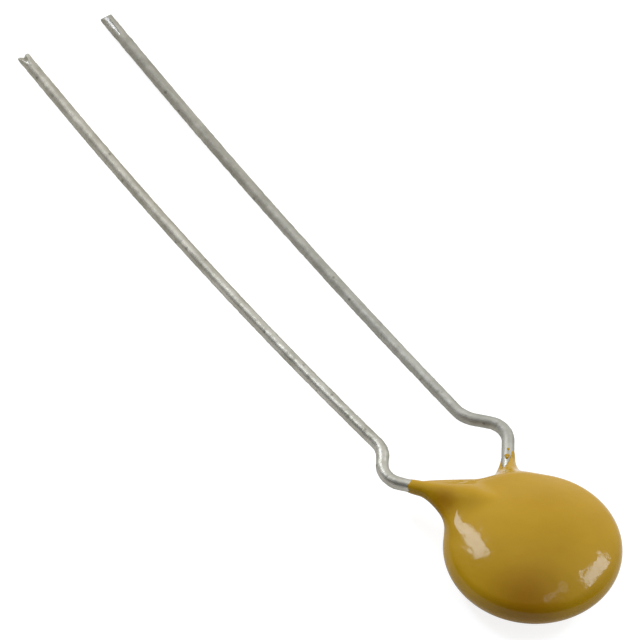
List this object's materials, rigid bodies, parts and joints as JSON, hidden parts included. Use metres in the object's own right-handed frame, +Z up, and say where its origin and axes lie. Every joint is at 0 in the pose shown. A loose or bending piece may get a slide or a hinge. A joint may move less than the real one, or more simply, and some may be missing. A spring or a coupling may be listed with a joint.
{
  "type": "ceramic disc capacitor",
  "caption": "Dipped ceramic disc capacitor: a glossy ochre lens-shaped coat with a neck along each of two long tinned wire leads, each formed with two bends.",
  "frame": {"origin": "middle of the bounding box, on the surface that the part lies on", "axes": "+X along the leads from the disc to the tips, +Z up, with the front lead on the +Y side"},
  "size_m": [0.0424, 0.0084, 0.0037],
  "materials": {
    "dipped_coat": "gloss",
    "ceramic": "matte",
    "silver_film": "satin",
    "tinned_wire": "satin",
    "solder": "satin"
  },
  "bodies": {
    "root": {"coating": "dipped_coat", "ceramic_disc": "ceramic", "electrode_front": "silver_film", "electrode_back": "silver_film", "lead_front": "tinned_wire", "lead_back": "tinned_wire", "solder_front": "solder", "solder_back": "solder"}
  },
  "joints": []
}
